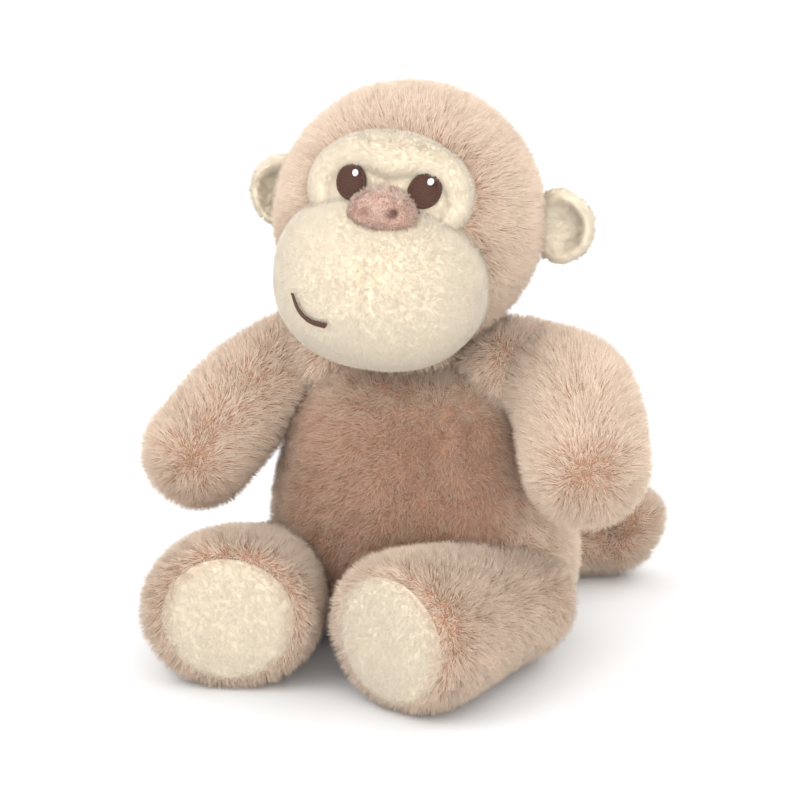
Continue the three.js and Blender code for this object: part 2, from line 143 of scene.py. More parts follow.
class Skin:
    """A closed surface from rings of points whose first and last ring shrink to a point."""

    def __init__(self, rings):
        count, around = rings.shape[:2]
        self.verts = np.vstack([rings[0, :1], rings[1:-1].reshape(-1, 3), rings[-1, :1]])
        index = 1 + np.arange((count - 2) * around).reshape(count - 2, around)
        beside = np.roll(index, -1, axis=1)
        self.quads = np.stack([index[:-1], beside[:-1], beside[1:], index[1:]], -1).reshape(-1, 4)
        pole = np.zeros(around, int)
        caps = [
            np.stack([pole, beside[0], index[0]], -1),
            np.stack([pole + len(self.verts) - 1, index[-1], beside[-1]], -1),
        ]
        self.caps = np.vstack(caps)
        self.tris = np.vstack([self.quads[:, [0, 1, 2]], self.quads[:, [0, 2, 3]], self.caps])
        a, b, c = self.verts[self.tris.T]
        if np.einsum("ij,ij->i", a, np.cross(b, c)).sum() < 0:
            self.quads, self.caps = self.quads[:, ::-1], self.caps[:, ::-1]
            self.tris = self.tris[:, ::-1]
        self.face()

    def face(self):
        """Normals of the vertices: the sum of the areas of the faces round each."""
        a, b, c = self.verts[self.tris.T]
        cross = np.cross(b - a, c - a)
        self.area = np.linalg.norm(cross, axis=1) / 2
        normals = np.zeros_like(self.verts)
        for corner in range(3):
            np.add.at(normals, self.tris[:, corner], cross)
        self.normals = unit(normals)

    def scatter(self, per_mm2, rng):
        """Points spread evenly over the surface, and the surface's normal at each."""
        count = int(self.area.sum() * per_mm2)
        pick = np.searchsorted(np.cumsum(self.area), rng.random(count) * self.area.sum())
        pick = np.minimum(pick, len(self.tris) - 1)
        u = np.sqrt(rng.random(count))
        v = rng.random(count)
        weights = np.stack([1 - u, u * (1 - v), u * v], 1)[:, :, None]
        corners = self.tris[pick]
        return (self.verts[corners] * weights).sum(1), unit((self.normals[corners] * weights).sum(1))


def globe(centre, radii, axes=np.eye(3), rings=40, around=64):
    """An ellipsoid from the sines and cosines of two angles. Its poles are on its third axis."""
    up = np.linspace(0, math.pi, rings)[:, None]
    turn = np.linspace(0, 2 * math.pi, around, endpoint=False)[None, :]
    local = np.stack([
        np.sin(up) * np.cos(turn),
        np.sin(up) * np.sin(turn),
        np.cos(up) * np.ones_like(turn),
    ], -1)
    return Skin(np.asarray(centre) + (local * np.asarray(radii)) @ np.asarray(axes).T)


def tube_rings(centres, radii, reference, around):
    """Rings round a curve, each square to it. The reference direction sets which way is up."""
    along = unit(np.gradient(centres, axis=0))
    side = unit(np.cross(along, reference))
    up = np.cross(side, along)
    turn = np.linspace(0, 2 * math.pi, around, endpoint=False)
    circle = (np.cos(turn)[None, :, None] * side[:, None, :]
              + np.sin(turn)[None, :, None] * up[:, None, :])
    return centres[:, None, :] + circle * radii[:, None, None]


def limb(path, radii, reference, steps=36, cap=10, around=48):
    """A stuffed limb: rings along a curve, with a rounded end at both ends."""
    centres = through(path, steps)
    r = through(np.asarray(radii, float)[:, None], steps)[:, 0]
    lead = unit(centres[1] - centres[0])
    tail = unit(centres[-1] - centres[-2])
    bend = np.linspace(0, math.pi / 2, cap, endpoint=False)
    start = centres[0] - lead * (r[0] * np.cos(bend))[:, None]
    end = centres[-1] + tail * (r[-1] * np.cos(bend[::-1]))[:, None]
    centres = np.vstack([start, centres, end])
    r = np.concatenate([r[0] * np.sin(bend), r, r[-1] * np.sin(bend[::-1])])
    rings = tube_rings(centres, r, reference, around)
    rings[0] = rings[0].mean(0)
    rings[-1] = rings[-1].mean(0)
    return Skin(rings), centres, r


# ---------------------------------------------------------------- meshes and pieces


def put_mesh(name, verts, tris, quads=None, normals=None, **values):
    """A mesh object from whole arrays, in metres. Extra values are stored on its points."""
    mesh = bpy.data.meshes.new(name)
    mesh.vertices.add(len(verts))
    mesh.vertices.foreach_set("co", (verts * MM).ravel())
    sizes = np.full(len(tris), 3)
    corners = tris.ravel()
    if quads is not None:
        sizes = np.concatenate([sizes, np.full(len(quads), 4)])
        corners = np.concatenate([corners, quads.ravel()])
    mesh.loops.add(len(corners))
    mesh.loops.foreach_set("vertex_index", corners)
    mesh.polygons.add(len(sizes))
    mesh.polygons.foreach_set("loop_start", np.cumsum(sizes) - sizes)
    mesh.polygons.foreach_set("use_smooth", np.ones(len(sizes), bool))
    mesh.update(calc_edges=True)
    for key, value in values.items():
        mesh.attributes.new(key, "FLOAT", "POINT").data.foreach_set("value", value)
    if normals is not None:
        mesh.attributes.new("custom_normal", "FLOAT_VECTOR", "POINT").data.foreach_set(
            "vector", normals.ravel())
    piece = bpy.data.objects.new(name, mesh)
    bpy.context.scene.collection.objects.link(piece)
    return piece


def finish_piece(piece, material, body, nodes=()):
    """Gives a piece its finish and its body, and hides the CAD nodes that it stands for."""
    piece.data.materials.append(material)
    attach(piece, body)
    if nodes:
        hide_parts(*nodes)
    return piece


def put_skin(name, skin, material, body, nodes=()):
    piece = put_mesh(name, skin.verts, skin.caps, skin.quads)
    return finish_piece(piece, material, body, nodes)


def put_pile(name, skin, kind, comb, keep, material, body, seed, nodes=(), deep=None):
    """Strands that stand on a skin. Each is a thin three-sided spike, open where it is sunk in the
    skin. It leans away from the normal along comb, less where the comb is shorter than 1, and a
    slow and a fine random drift turn it, so that the pile parts into tufts. Strands for which keep
    says no are left out, and none dips under the floor. Deep is painted shade: it says from 0 to 1
    how much of a strand keeps the darker colour of its root."""
    rng = np.random.default_rng(seed)
    density = kind["per_mm2"] * 1.0
    root, normal = skin.scatter(density, rng)
    inside = keep(root, normal)
    root, normal = root[inside], normal[inside]
    flow = comb(root, normal)
    flow = flow - normal * np.einsum("ij,ij->i", flow, normal)[:, None]
    flow /= np.maximum(np.linalg.norm(flow, axis=1, keepdims=True), 1)
    wander = drift(root, kind["pitch"], seed + 1) + 0.5 * drift(root, kind["pitch"] * 3.5, seed + 2)
    wander += 0.55 * rng.normal(size=root.shape)
    lean = math.radians(kind["lean"])
    way = unit(normal * math.cos(lean) + flow * math.sin(lean) + wander * kind["wander"])
    rise = np.einsum("ij,ij->i", way, normal)
    way = unit(way + normal * np.maximum(0.3 - rise, 0)[:, None])
    length = kind["length"] * (0.7 + 0.3 * rng.random(len(root)))
    tip = root + way * length[:, None]
    tip[:, 2] = np.maximum(tip[:, 2], FLOOR_GAP + 0.4 * rng.random(len(root)))
    side = unit(np.cross(way, normal + 0.3 * rng.normal(size=root.shape)))
    other = np.cross(way, side)
    turn = rng.random(len(root)) * 2 * math.pi
    spread = []
    for corner in range(3):
        angle = turn + corner * 2 * math.pi / 3
        spread.append(side * np.cos(angle)[:, None] + other * np.sin(angle)[:, None])
    width = kind["width"] * (0.7 + 0.6 * rng.random(len(root)))[:, None] / 2
    sunk = root - normal * SUNK
    verts = np.stack([sunk + spread[0] * width, sunk + spread[1] * width,
                      sunk + spread[2] * width, tip], 1)
    verts[:, :, 2] = np.maximum(verts[:, :, 2], FLOOR_GAP)
    soft = [unit(normal + 0.35 * s) for s in spread] + [unit(normal + 0.45 * way)]
    first = 4 * np.arange(len(root))[:, None]
    # painted shade: where deep is given, less of the tip's colour shows and the strand stays darker
    shown = np.ones(len(root)) if deep is None else 1.0 - deep(root, normal)
    along = np.repeat(shown[:, None] * ROOT_SHARE, 4, axis=1)
    along[:, 3] = LEAST_TIP + (1 - LEAST_TIP) * shown
    tris = np.concatenate([first + [0, 1, 3], first + [1, 2, 3], first + [2, 0, 3]])
    piece = put_mesh(
        name, verts.reshape(-1, 3), tris,
        normals=np.stack(soft, 1).reshape(-1, 3),
        along=along.ravel(),
        tint=np.repeat(rng.random(len(root)), 4),
    )
    return finish_piece(piece, material, body, nodes)


def put_threads(name, lines, radius, material, body, nodes=(), sides=6):
    """Threads as six-sided tubes, one for each row of points, that thin to a point at both ends.
    Radius is one number or one for each thread."""
    count, steps = lines.shape[:2]
    along = unit(np.gradient(lines, axis=1))
    reference = unit(np.cross(along[:, steps // 2], [0.31, 0.87, 0.39]))
    side = unit(np.cross(along, reference[:, None, :]))
    up = np.cross(side, along)
    swell = np.sin(np.linspace(0.12, math.pi - 0.12, steps)) ** 0.35
    size = np.broadcast_to(np.asarray(radius, float).reshape(-1, 1), (count, 1)) * swell[None, :]
    turn = np.linspace(0, 2 * math.pi, sides, endpoint=False)
    ring = (np.cos(turn)[None, None, :, None] * side[:, :, None, :]
            + np.sin(turn)[None, None, :, None] * up[:, :, None, :])
    points = lines[:, :, None, :] + ring * size[:, :, None, None]
    each = steps * sides
    verts = np.concatenate([points.reshape(count, each, 3), lines[:, :1], lines[:, -1:]], 1)
    index = np.arange(each).reshape(steps, sides)
    beside = np.roll(index, -1, axis=1)
    quads = np.stack([index[:-1], beside[:-1], beside[1:], index[1:]], -1).reshape(-1, 4)
    ends = np.vstack([
        np.stack([np.full(sides, each), beside[0], index[0]], -1),
        np.stack([np.full(sides, each + 1), index[-1], beside[-1]], -1),
    ])
    shift = (np.arange(count) * (each + 2))[:, None, None]
    quads = (quads[None] + shift).reshape(-1, 4)
    ends = (ends[None] + shift).reshape(-1, 3)
    verts = verts.reshape(-1, 3)
    a, b, c = verts[ends[0]]
    if np.dot(np.cross(b - a, c - a), along[0, 0]) >= 0:
        quads, ends = quads[:, ::-1], ends[:, ::-1]
    piece = put_mesh(name, verts, ends, quads)
    return finish_piece(piece, material, body, nodes)


# ---------------------------------------------------------------- finishes


def socket(group, name, kind, out=False, value=None):
    """A socket on a node group, with its default value if one is given."""
    item = group.interface.new_socket(name, in_out="OUTPUT" if out else "INPUT", socket_type=kind)
    if value is not None:
        item.default_value = value


COAT_PATCHES = 55  # spots of deeper and paler coat in a metre


def pile_group():
    """Colour of a strand: dark at the root and light at the tip, varied from strand to strand
    and, more slowly, from one part of the coat to the next."""
    group = bpy.data.node_groups.new("pile_shade", "ShaderNodeTree")
    socket(group, "Root", "NodeSocketColor")
    socket(group, "Tip", "NodeSocketColor")
    socket(group, "Variation", "NodeSocketFloat", value=0.25)
    socket(group, "Patches", "NodeSocketFloat", value=0.12)
    socket(group, "Colour", "NodeSocketColor", out=True)
    nodes, links = group.nodes, group.links
    inputs, output = nodes.new("NodeGroupInput"), nodes.new("NodeGroupOutput")
    along, tint = nodes.new("ShaderNodeAttribute"), nodes.new("ShaderNodeAttribute")
    along.attribute_name, tint.attribute_name = "along", "tint"
    mix = nodes.new("ShaderNodeMix")
    mix.data_type = "RGBA"
    links.new(along.outputs["Fac"], mix.inputs["Factor"])
    links.new(inputs.outputs["Root"], mix.inputs["A"])
    links.new(inputs.outputs["Tip"], mix.inputs["B"])
    place, noise = nodes.new("ShaderNodeTexCoord"), nodes.new("ShaderNodeTexNoise")
    noise.inputs["Scale"].default_value = COAT_PATCHES
    noise.inputs["Detail"].default_value = 3
    links.new(place.outputs["Object"], noise.inputs["Vector"])
    total = None
    for source, strength in ((tint.outputs["Fac"], "Variation"), (noise.outputs["Fac"], "Patches")):
        centred = nodes.new("ShaderNodeMath")
        centred.operation = "SUBTRACT"
        centred.inputs[1].default_value = 0.5
        links.new(source, centred.inputs[0])
        scaled = nodes.new("ShaderNodeMath")
        scaled.operation = "MULTIPLY_ADD"
        scaled.inputs[2].default_value = 1.0
        links.new(centred.outputs[0], scaled.inputs[0])
        links.new(inputs.outputs[strength], scaled.inputs[1])
        if total is None:
            total = scaled.outputs[0]
        else:
            both = nodes.new("ShaderNodeMath")
            both.operation = "MULTIPLY"
            links.new(total, both.inputs[0])
            links.new(scaled.outputs[0], both.inputs[1])
            total = both.outputs[0]
    shade = nodes.new("ShaderNodeVectorMath")
    shade.operation = "SCALE"
    links.new(mix.outputs["Result"], shade.inputs[0])
    links.new(total, shade.inputs["Scale"])
    links.new(shade.outputs[0], output.inputs["Colour"])
    return group


PILE_SHADE = pile_group()


def principled(name, roughness, sheen, sheen_tint=(1, 1, 1), specular=0.25):
    """A new material and its main shader, with the constant values set on the shader."""
    material = bpy.data.materials.new(name)
    material.use_nodes = True
    shader = material.node_tree.nodes["Principled BSDF"]
    shader.inputs["Roughness"].default_value = roughness
    shader.inputs["Sheen Weight"].default_value = sheen
    shader.inputs["Sheen Roughness"].default_value = 0.45
    shader.inputs["Sheen Tint"].default_value = (*sheen_tint, 1)
    shader.inputs["Specular IOR Level"].default_value = specular
    return material, shader


def pile_material(name, root, tip, variation, patches, sheen):
    material, shader = principled(name, 0.85, sheen, sheen_tint=tip)
    tree = material.node_tree
    shade = tree.nodes.new("ShaderNodeGroup")
    shade.node_tree = PILE_SHADE
    shade.inputs["Root"].default_value = (*root, 1)
    shade.inputs["Tip"].default_value = (*tip, 1)
    shade.inputs["Variation"].default_value = variation
    shade.inputs["Patches"].default_value = patches
    tree.links.new(shade.outputs["Colour"], shader.inputs["Base Color"])
    return material


def cloth_material(name, dark, light, scale, roughness=0.9, sheen=0.1):
    """Backing cloth or thread: a fine mottle between two colours, and the same mottle as a bump."""
    material, shader = principled(name, roughness, sheen, sheen_tint=light)
    tree = material.node_tree
    place, noise = tree.nodes.new("ShaderNodeTexCoord"), tree.nodes.new("ShaderNodeTexNoise")
    noise.inputs["Scale"].default_value = scale
    tree.links.new(place.outputs["Object"], noise.inputs["Vector"])
    mix = tree.nodes.new("ShaderNodeMix")
    mix.data_type = "RGBA"
    mix.inputs["A"].default_value = (*dark, 1)
    mix.inputs["B"].default_value = (*light, 1)
    tree.links.new(noise.outputs["Fac"], mix.inputs["Factor"])
    tree.links.new(mix.outputs["Result"], shader.inputs["Base Color"])
    bump = tree.nodes.new("ShaderNodeBump")
    bump.inputs["Strength"].default_value = 0.4
    bump.inputs["Distance"].default_value = 0.0002
    tree.links.new(noise.outputs["Fac"], bump.inputs["Height"])
    tree.links.new(bump.outputs["Normal"], shader.inputs["Normal"])
    return material


CLOTH_GRAIN, THREAD_GRAIN = 900, 2500  # spots of the mottle in a metre
COAT = pile_material("brown_coat_pile", (0.33, 0.145, 0.078), (0.92, 0.745, 0.59), 0.24, 0.14, 0.12)
CREAM = pile_material("cream_short_pile", (0.62, 0.50, 0.34), (0.85, 0.765, 0.635), 0.08, 0.04, 0.12)
ROSE = pile_material("rose_nose_pile", (0.34, 0.185, 0.13), (0.86, 0.665, 0.55), 0.35, 0.2, 0.2)
COAT_BACK = cloth_material("brown_backing_cloth", (0.40, 0.23, 0.15), (0.48, 0.29, 0.20), CLOTH_GRAIN)
CREAM_BACK = cloth_material("cream_backing_cloth", (0.74, 0.63, 0.47), (0.81, 0.72, 0.57), CLOTH_GRAIN)
ROSE_BACK = cloth_material("rose_backing_cloth", (0.34, 0.18, 0.15), (0.46, 0.28, 0.23), CLOTH_GRAIN)
BROWN_THREAD = cloth_material(
    "brown_satin_thread", (0.04, 0.016, 0.011), (0.11, 0.05, 0.034), THREAD_GRAIN, 0.5, 0.2)
WHITE_THREAD = cloth_material(
    "white_satin_thread", (0.85, 0.85, 0.85), (0.98, 0.98, 0.98), THREAD_GRAIN, 0.5, 0.2)
SEAM_THREAD = cloth_material(
    "tan_sewing_thread", (0.34, 0.21, 0.15), (0.5, 0.34, 0.26), THREAD_GRAIN, 0.6, 0.2)


# ---------------------------------------------------------------- torso

TORSO = ("torso_front_panel", "torso_back_left", "torso_back_right")
torso_low, torso_high = span(*TORSO)
torso_half = (torso_high - torso_low) / 2
TORSO_PROFILE = np.array([
    # height, half width, half depth and depth of the middle, as shares of the torso's size
    [0.000, 0.00, 0.00, 0.07], [0.004, 0.44, 0.50, 0.07], [0.022, 0.66, 0.70, 0.06],
    [0.075, 0.85, 0.88, 0.05], [0.235, 0.99, 0.99, 0.02], [0.45, 0.99, 0.97, -0.02],
    [0.65, 0.91, 0.89, -0.05], [0.82, 0.82, 0.76, -0.08], [0.95, 0.62, 0.58, -0.08],
    [0.99, 0.34, 0.36, -0.08], [1.000, 0.00, 0.00, -0.08],
])


def torso_skin():
    profile = through(TORSO_PROFILE, 64)
    turn = np.linspace(0, 2 * math.pi, 96, endpoint=False)
    centre = (torso_low + torso_high) / 2
    wide = np.maximum(profile[:, 1] * torso_half[0] - SKIN_DEPTH, 0)
    deep = np.maximum(profile[:, 2] * torso_half[1] - SKIN_DEPTH, 0)
    wide[[0, -1]] = deep[[0, -1]] = 0
    low = torso_low[2] + 0.5
    height = low + profile[:, 0] * (torso_high[2] - low - SKIN_DEPTH)
    x = centre[0] + wide[:, None] * np.cos(turn)
    y = centre[1] + profile[:, 3:4] * torso_half[1] + deep[:, None] * np.sin(turn)
    return Skin(np.stack([x, y, height[:, None] + 0 * x], -1))


# ---------------------------------------------------------------- head axes

HEAD = ("head_left_panel", "head_right_panel", "head_gusset")
head_centre = middle(*HEAD)
head_radii = half(*HEAD)
to_left = unit(middle("left_eye") - middle("right_eye"))
head_yaw = math.atan2(to_left[1], to_left[0])
head_roll = math.asin(-to_left[2])
yaw_cos, yaw_sin = math.cos(head_yaw), math.sin(head_yaw)
roll_cos, roll_sin = math.cos(head_roll), math.sin(head_roll)
head_axes = np.array([
    [yaw_cos * roll_cos, -yaw_sin, yaw_cos * roll_sin],
    [yaw_sin * roll_cos, yaw_cos, yaw_sin * roll_sin],
    [-roll_sin, 0, roll_cos],
])


def out_of_head(local):
    """Points in the head's own axes, placed in the frame's axes."""
    return head_centre + np.asarray(local, float) @ head_axes.T


def into_head(world):
    return (world - head_centre) @ head_axes


MASK_AT, MASK_HALF = (-0.3, 13.0), (23.3, 16.4)
MUZZLE_AT, MUZZLE_HALF = np.array([-1.6, -28.0, -12.7]), np.array([30.8, 25.0, 25.9])
NOSE_AT, NOSE_HALF, NOSE_TAPER = np.array([0.2, -40.5, 11.6]), np.array([10.8, 6.0]), 0.42
EYE_X, EYE_Z, EYE_RADIUS = 10.1, 15.8, 4.3
head_skin = globe(head_centre, head_radii - SKIN_DEPTH, head_axes, rings=48, around=80)


def outward(surface, x, z):
    """Normal of a surface that is given as a point for each x and z, by small steps."""
    step = 0.2
    a = surface(x + step, z) - surface(x - step, z)
    b = surface(x, z + step) - surface(x, z - step)
    return unit(np.cross(a, b))


def brow_height(x, z):
    """Padding of the mask: a thin pad all over, and a roll along the upper edge that narrows
    from the middle to both sides and ends below them, with a sharp crease under it."""
    u, w = x - MASK_AT[0], z - MASK_AT[1]
    angle = np.arctan2(w, np.abs(u))
    far = np.hypot(u, w)
    edge = 1 / np.sqrt((np.cos(angle) / MASK_HALF[0]) ** 2 + (np.sin(angle) / MASK_HALF[1]) ** 2)
    width = 6.0 + 4.6 * np.clip(np.sin(angle), 0, 1) ** 1.5
    across = np.clip((far - edge + width) / width, 0, 1)
    ends = smooth(angle, math.radians(-32), math.radians(5))
    roll = (4 * across * (1 - across)) ** 0.55 * (2.6 + 1.8 * np.clip(np.sin(angle), 0, 1))
    rim = 1 - smooth(far / edge, 0.9, 1.0)
    return 0.7 * rim + roll * ends


def head_front(x, z):
    """The front of the head's skin over x and z, in the head's own axes."""
    r = head_radii - SKIN_DEPTH
    inside = np.clip(1 - (x / r[0]) ** 2 - (z / r[2]) ** 2, 0.02, 1)
    return np.stack([x, -r[1] * np.sqrt(inside), z], -1)


def mask_front(x, z):
    base = head_front(x, z)
    away = unit(base / (head_radii - SKIN_DEPTH) ** 2)
    return base + away * (0.8 + brow_height(x, z))[..., None]


def narrowing(w, taper):
    """Share of its width that an outline keeps towards its top, where w is 1."""
    return 1 - taper * np.clip(w * 0.5 + 0.5, 0, 1) ** 2


def plate(surface, centre, size, depth, rings=30, around=72, power=2.0, taper=0.0):
    """A closed pad: its front follows a surface within a rounded outline that may narrow
    towards its top, its back is depth behind."""
    turn = np.linspace(0, 2 * math.pi, around, endpoint=False)
    shape = (np.abs(np.cos(turn)) ** power + np.abs(np.sin(turn)) ** power) ** (-1 / power)
    share = np.sin(np.linspace(0, math.pi / 2, rings))[:, None]
    w = share * np.sin(turn) * shape
    x = centre[0] + size[0] * share * np.cos(turn) * shape * narrowing(w, taper)
    z = centre[1] + size[1] * w
    front = surface(x, z)
    back = front[::-1][1:] * 1.0
    back[..., 1] += depth
    return Skin(out_of_head(np.concatenate([front, back])))


def muzzle_front(x, z):
    """The muzzle: a fuller ellipsoid, with a shallow groove where its two halves are sewn."""
    u, w = (x - MUZZLE_AT[0]) / MUZZLE_HALF[0], (z - MUZZLE_AT[2]) / MUZZLE_HALF[2]
    power = 2.25
    inside = np.clip(1 - np.abs(u) ** power - np.abs(w) ** power, 0.0, 1)
    groove = 0.55 * np.exp(-((x - MUZZLE_AT[0]) / 1.5) ** 2) * smooth(inside, 0.02, 0.3)
    y = MUZZLE_AT[1] - MUZZLE_HALF[1] * inside ** 0.52 + groove
    return np.stack([x, y, z], -1)


def nostrils(x, z):
    """1 in the middle of the deeper nostril and 0 away from both; the other is half as deep."""
    w = z - NOSE_AT[2]
    left = np.exp(-((x - 4.4) ** 2 + (w - 0.4) ** 2) / 1.5)
    right = 0.5 * np.exp(-((x + 4.2) ** 2 + (w + 0.2) ** 2) / 1.8)
    return left + right


def nose_front(x, z):
    """The nose: a dome, steeper below, with two dimples for nostrils."""
    w = (z - NOSE_AT[2]) / NOSE_HALF[1]
    u = (x - NOSE_AT[0]) / NOSE_HALF[0] / narrowing(w, NOSE_TAPER)
    inside = np.clip(1 - np.abs(u) ** 2.3 - np.abs(w) ** 2.3, 0, 1)
    y = NOSE_AT[1] - 6.5 * inside ** 0.5 + 3.2 * nostrils(x, z)
    return np.stack([x, y, z], -1)


# ---------------------------------------------------------------- limbs

ARM_RADII = {"left": [16.5, 18, 18.6, 18.8, 18.4], "right": [15, 16, 16.6, 17.0, 17.0]}
HAND_SHIFT = {"left": [1.2, 0, -2.5], "right": [0, 0, 0]}
ARM_BEND = {"left": [0.565, 0.38, 0.18], "right": [0.53, 0.45, 0.38]}
arms, legs = {}, {}
for side, sign in (("left", 1), ("right", -1)):
    nodes = (f"{side}_arm_front", f"{side}_arm_back")
    low, high = span(*nodes)
    root = pivot(f"{side}_arm_swing")
    r = ARM_RADII[side][-1]
    outer = high[0] if sign > 0 else low[0]
    hand = np.array([outer - sign * (r - 0.5), low[1] + r - 0.5, low[2] + r - 0.2]) + HAND_SHIFT[side]
    elbow = root + (hand - root) * ARM_BEND[side]
    arms[side] = limb([root, elbow, hand], np.array(ARM_RADII[side]) - SKIN_DEPTH, [0, 1, 0])

LEG_TURN = {"left": math.radians(-20), "right": math.radians(17)}
LEG_SHIFT = {"left": ([0, 0, -1], [-3.8, 0, -1.2]), "right": ([-4, 0, -1], [0.2, 0, -1.6])}
LEG_RADII = {"left": [20, 21.3, 23.2, 25.4, 26.4], "right": [16, 18, 21, 25, 27]}
LEG_HEIGHT_SHARE = 0.88
SOLE_RADIUS = 19.0
FOOT_LENGTH, FOOT_RIM = 12, 7.0
REST_HEIGHT = 1.0  # the legs are pressed flat under this height


def leg_skin(side):
    """A leg that widens to the foot: rings along a line, then a rounded rim and a flat end."""
    hip = pivot(f"{side}_leg_raise") + LEG_SHIFT[side][0]
    sole = middle(f"{side}_foot_sole") + LEG_SHIFT[side][1]
    turn = LEG_TURN[side]
    face = np.array([math.sin(turn), -math.cos(turn), 0])
    ankle = sole - face * FOOT_LENGTH
    line = through([hip, hip + (ankle - hip) * 0.5 + [0, 0, 0.3], ankle], 30)
    radii = through(np.array(LEG_RADII[side])[:, None], 30)[:, 0] - SKIN_DEPTH
    lead = unit(line[0] - line[1])
    bend = np.linspace(0, math.pi / 2, 10, endpoint=False)
    start = line[0] + lead * (radii[0] * np.cos(bend))[:, None]
    over = np.linspace(0, math.pi / 2, 9)[1:]
    edge = ankle + face * (5.0 + FOOT_RIM * np.sin(over) - FOOT_RIM * 0.5)[:, None]
    edge_radii = radii[-1] - FOOT_RIM * (1 - np.cos(over))
    flat = np.linspace(0.9, 0, 8)
    end = np.repeat(edge[-1:], 8, 0) + face * 0.001 * np.arange(8)[:, None]
    centres = np.vstack([start, line, edge, end])
    sizes = np.concatenate([radii[0] * np.sin(bend), radii, edge_radii, edge_radii[-1] * flat])
    turn_by = np.linspace(0, 2 * math.pi, 56, endpoint=False)
    along = np.vstack([
        np.repeat(-lead[None], len(start), 0),
        unit(np.gradient(line, axis=0)),
        np.repeat(face[None], len(edge) + len(end), 0),
    ])
    across = unit(np.cross(along, [0, 0, 1]))
    up = np.cross(across, along)
    rings = (centres[:, None, :] + sizes[:, None, None] * (
        np.cos(turn_by)[None, :, None] * across[:, None, :]
        + LEG_HEIGHT_SHARE * np.sin(turn_by)[None, :, None] * up[:, None, :]))
    pressed = REST_HEIGHT + 0.02 * (rings[..., 2] - REST_HEIGHT)
    rings[..., 2] = np.maximum(rings[..., 2], pressed)
    rings[0] = rings[0].mean(0)
    rings[-1] = rings[-1].mean(0)
    return Skin(rings), centres, sizes, edge[-1], face


for side in ("left", "right"):
    legs[side] = leg_skin(side)

tail_root = pivot("tail_wag")
_, tail_high = span("tail_outer", "tail_inner")
tail_end = np.array([tail_high[0] - 9.6, tail_high[1] - 10.6, tail_high[2] - 9.7])
tail_steps = [[0, 0, 0], [14, 7.6, -6], [28, 15.6, -7.4], [40, 19.6, -5.8]]
tail = limb(
    [tail_root + step for step in tail_steps] + [tail_end],
    np.array([8.5, 9.8, 10.2, 10.4, 10.2]) - SKIN_DEPTH, [0, 0, 1], around=36)


# ---------------------------------------------------------------- where the pile grows


def in_limb(points, shape, shrink):
    """Whether each point lies in one of the balls round every second ring of a limb."""
    _, centres, radii = shape[:3]
    found = np.zeros(len(points), bool)
    for centre, radius in zip(centres[::2], radii[::2]):
        found |= ((points - centre) ** 2).sum(1) < max(radius - shrink, 0) ** 2
    return found


def in_globe(points, centre, radii):
    return (((points - centre) / radii) ** 2).sum(1) < 1


def in_face(points, grow):
    """Whether each point lies behind the mask or the muzzle, seen from the front of the head, or
    inside the muzzle. Their outlines are widened by grow."""
    local = into_head(points)
    y = local[:, 1]
    mask = ((local[:, ::2] - MASK_AT) / (np.array(MASK_HALF) + grow)) ** 2
    deep = ((local - MUZZLE_AT) / (MUZZLE_HALF + grow)) ** 2
    muzzle = deep[:, 0] + deep[:, 2] < 1
    return (y < 0) & ((mask.sum(1) < 1) | (muzzle & (y < -18)) | (deep.sum(1) < 1))


def head_comb(points, normals):
    """From the face to the back and down. Close to the edge of the face it turns round, so that the
    pile leans over the edge."""
    local = into_head(points)
    away = local - [0, -40, 2]
    away[:, 1] *= 0.6
    back = unit(away) @ head_axes.T + [0, 0, -0.45]
    x, y, z = local.T
    mask = np.hypot((x - MASK_AT[0]) / MASK_HALF[0], (z - MASK_AT[1]) / MASK_HALF[1])
    muzzle = np.hypot((x - MUZZLE_AT[0]) / MUZZLE_HALF[0], (z - MUZZLE_AT[2]) / MUZZLE_HALF[2])
    edge = 1 - smooth(np.minimum(mask, muzzle), 0.95, 1.35)
    return back * (1 - 1.5 * edge * (y < 0))[:, None]


def torso_comb(points, normals):
    """Down, and a little outward from the middle of the front."""
    out = np.zeros_like(points)
    out[:, 0] = 0.35 * np.sign(points[:, 0]) * smooth(np.abs(points[:, 0]), 0, 25)
    out[:, 2] = -1
    return out


def limb_comb(shape, fall, way=1):
    """Along the limb to its end and a little down; a negative way combs it up the limb."""
    centres = shape[1]
    start, end = centres[0], centres[-1]

    def comb(points, normals):
        share = np.clip((points - start) @ (end - start) / ((end - start) ** 2).sum(), 0, 1)
        near = centres[np.clip((share * (len(centres) - 1)).astype(int) + 3, 3, len(centres) - 1)]
        back = centres[np.clip((share * (len(centres) - 1)).astype(int) - 3, 0, len(centres) - 4)]
        return way * unit(near - back) + [0, 0, -fall]

    return comb


def above_floor(points, normals):
    return (points[:, 2] > 1.6) | (normals[:, 2] > -0.8)


# ---------------------------------------------------------------- pieces of the coat

skin = torso_skin()
put_skin("torso_skin", skin, COAT_BACK, "torso",
         ("torso_stuffing", "pellet_bag"))


def torso_part(front, left):
    def keep(points, normals):
        y_side = (points[:, 1] < 1) == front
        x_side = (points[:, 0] > 0) == left
        hidden = in_globe(points, head_centre, head_radii * 0.97)
        for leg in legs.values():
            hidden |= in_limb(points, leg, 1.5)
        for arm in arms.values():
            hidden |= in_limb(points, arm, 1.5)
        return y_side & x_side & ~hidden & above_floor(points, normals)
    return keep


def painted_belly_shade(points, normals):
    """Painted shade: the front of the belly is made deeper in colour than its sides. It stands for
    the shade that the head, arms and legs cast there, and for the roots that the pile shows where
    it points at whoever looks at it."""
    front = smooth(-normals[:, 1], 0.0, 0.7)
    # half as much painted shade on the chest, which the head already shades
    chest = 1 - 0.5 * smooth(points[:, 2], 68, 86)
    return 0.86 * front * chest * (1 - smooth(np.abs(points[:, 0]), 28, 46))
